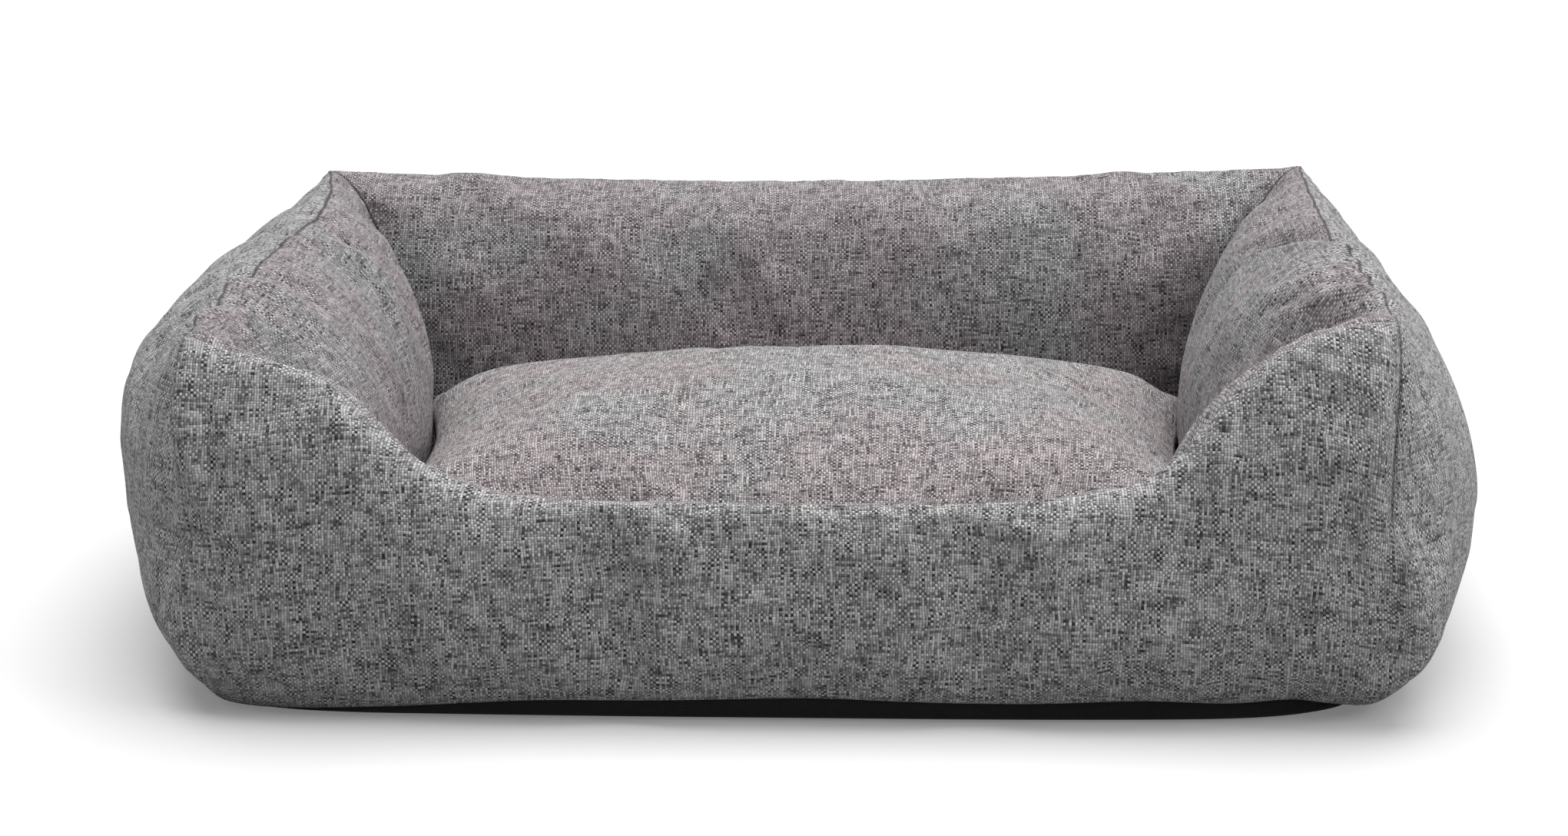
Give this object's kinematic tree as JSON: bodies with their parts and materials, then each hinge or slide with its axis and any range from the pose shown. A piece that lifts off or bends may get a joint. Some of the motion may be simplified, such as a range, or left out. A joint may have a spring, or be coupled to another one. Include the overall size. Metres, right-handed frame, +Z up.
{
  "type": "dog sofa bed",
  "caption": "Rectangular stuffed dog bed with high back and side walls, a low dipped entry in front and a loose crowned cushion that lifts out.",
  "frame": {"origin": "on the floor under the middle of the bed", "axes": "+X to the right seen from the low entry, +Y towards the high back wall, +Z up"},
  "size_m": [0.7008, 0.5149, 0.196],
  "materials": {
    "wall_fabric": "coarse plain-woven grey melange, matt",
    "cushion_fabric": "coarse plain-woven grey melange, matt",
    "lining_fabric": "plain-woven grey, matt",
    "base_fabric": "thin black non-slip fabric, matt",
    "fibre_filling": "loose polyester fibre",
    "wadding": "bonded polyester wadding",
    "zip_tape": "fine twill tape, matt",
    "zip_coil": "nylon coil, satin",
    "zip_metal": "dark satin enamel on die-cast zinc"
  },
  "bodies": {
    "bed": {"base_panel": "base_fabric", "base_pad": "wadding", "floor_panel": "lining_fabric", "left_outer_panel": "wall_fabric", "left_inner_panel": "wall_fabric", "left_filling": "fibre_filling", "right_outer_panel": "wall_fabric", "right_inner_panel": "wall_fabric", "right_filling": "fibre_filling", "back_outer_panel": "wall_fabric", "back_inner_panel": "wall_fabric", "back_filling": "fibre_filling", "front_outer_panel": "wall_fabric", "front_inner_panel": "wall_fabric", "front_filling": "fibre_filling"},
    "cushion": {"cushion_top_panel": "cushion_fabric", "cushion_bottom_panel": "cushion_fabric", "cushion_filling": "fibre_filling", "zip_tape_upper": "zip_tape", "zip_tape_lower": "zip_tape", "zip_coil_upper": "zip_coil", "zip_coil_lower": "zip_coil", "zip_end_stops": "zip_metal"},
    "zip_slider": {"zip_slider": "zip_metal"},
    "zip_pull": {"zip_pull": "zip_metal"}
  },
  "joints": [
    {"name": "cushion_lift", "type": "slide", "parent": "bed", "child": "cushion", "axis": [0, 0, 1], "range_m": [0, 0.3]},
    {"name": "zip_slide", "type": "slide", "parent": "cushion", "child": "zip_slider", "axis": [1, 0, 0], "range_m": [0, 0.285]},
    {"name": "pull_swing", "type": "hinge", "parent": "zip_slider", "child": "zip_pull", "pos_m": [-0.1426, 0.14634, 0.02679], "axis": [0, 0.7071, 0.7071], "range_deg": [-90, 90]}
  ]
}
